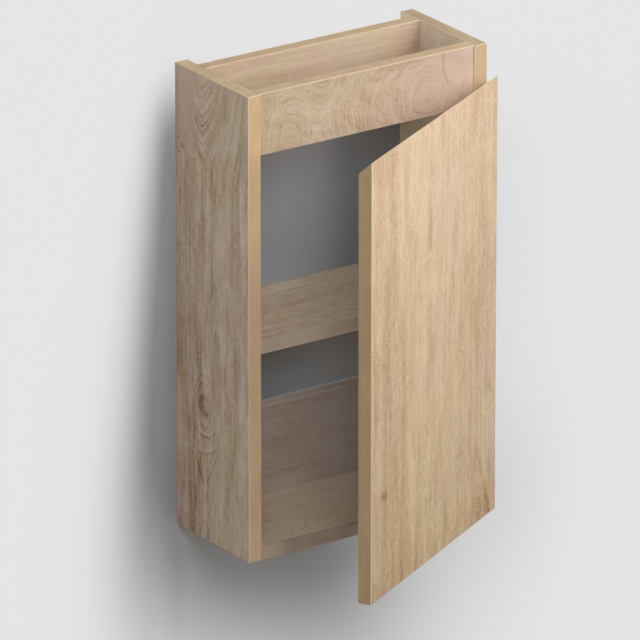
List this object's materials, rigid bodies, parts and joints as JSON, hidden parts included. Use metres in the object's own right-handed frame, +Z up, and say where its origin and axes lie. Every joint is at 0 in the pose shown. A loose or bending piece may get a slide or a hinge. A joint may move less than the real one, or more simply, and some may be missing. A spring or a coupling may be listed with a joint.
{
  "type": "cloakroom vanity unit",
  "caption": "Slim wall-hung oak-look basin cabinet, open at the top and back, with a shelf and a full-overlay door on concealed hinges with a slanting finger-grip top edge.",
  "frame": {"origin": "on the wall plane, midway between the two upper wall fixing holes", "axes": "+X to the right as seen from the front, +Y towards the wall, +Z up"},
  "size_m": [0.3544, 0.3451, 0.603],
  "materials": {
    "oak_board": "satin oak-look melamine",
    "edging": "plain satin edging",
    "dowel": "bare beech",
    "cam_zinc": "die-cast zinc",
    "hinge_steel": "nickel-plated",
    "plated_steel": "zinc-plated",
    "soft_buffer": "soft clear polyurethane"
  },
  "bodies": {
    "carcass": {"side_left": "oak_board", "side_right": "oak_board", "bottom_panel": "oak_board", "shelf": "oak_board", "front_rail": "oak_board", "rear_top_rail": "oak_board", "low_rear_rail": "oak_board", "side_left_front_edging": "edging", "side_left_top_edging": "edging", "side_right_front_edging": "edging", "side_right_top_edging": "edging", "front_rail_edging": "edging", "rear_top_rail_edging": "edging", "low_rear_rail_edging": "edging", "shelf_edging": "edging", "bottom_edging": "edging", "dowels": "dowel", "cam_bolts": "hinge_steel", "cams": "cam_zinc", "hinge_arm_lower": "hinge_steel", "hinge_arm_upper": "hinge_steel", "hinge_plate_lower": "plated_steel", "hinge_plate_upper": "plated_steel", "plate_screws": "hinge_steel", "arm_screws": "hinge_steel", "wall_bracket_left": "plated_steel", "wall_bracket_right": "plated_steel", "bracket_screws": "hinge_steel"},
    "door": {"door_panel": "oak_board", "door_top_edging": "edging", "door_bottom_edging": "edging", "door_hinge_edging": "edging", "door_free_edging": "edging", "door_bumpers": "soft_buffer", "hinge_cup_lower": "hinge_steel", "hinge_cup_upper": "hinge_steel", "cup_screws": "hinge_steel", "hinge_pins": "hinge_steel"}
  },
  "joints": [
    {"name": "door_hinge", "type": "hinge", "parent": "carcass", "child": "door", "pos_m": [0.1682, -0.1678, -0.212], "axis": [0, 0, 1], "range_deg": [-29.3, 65.7]}
  ]
}
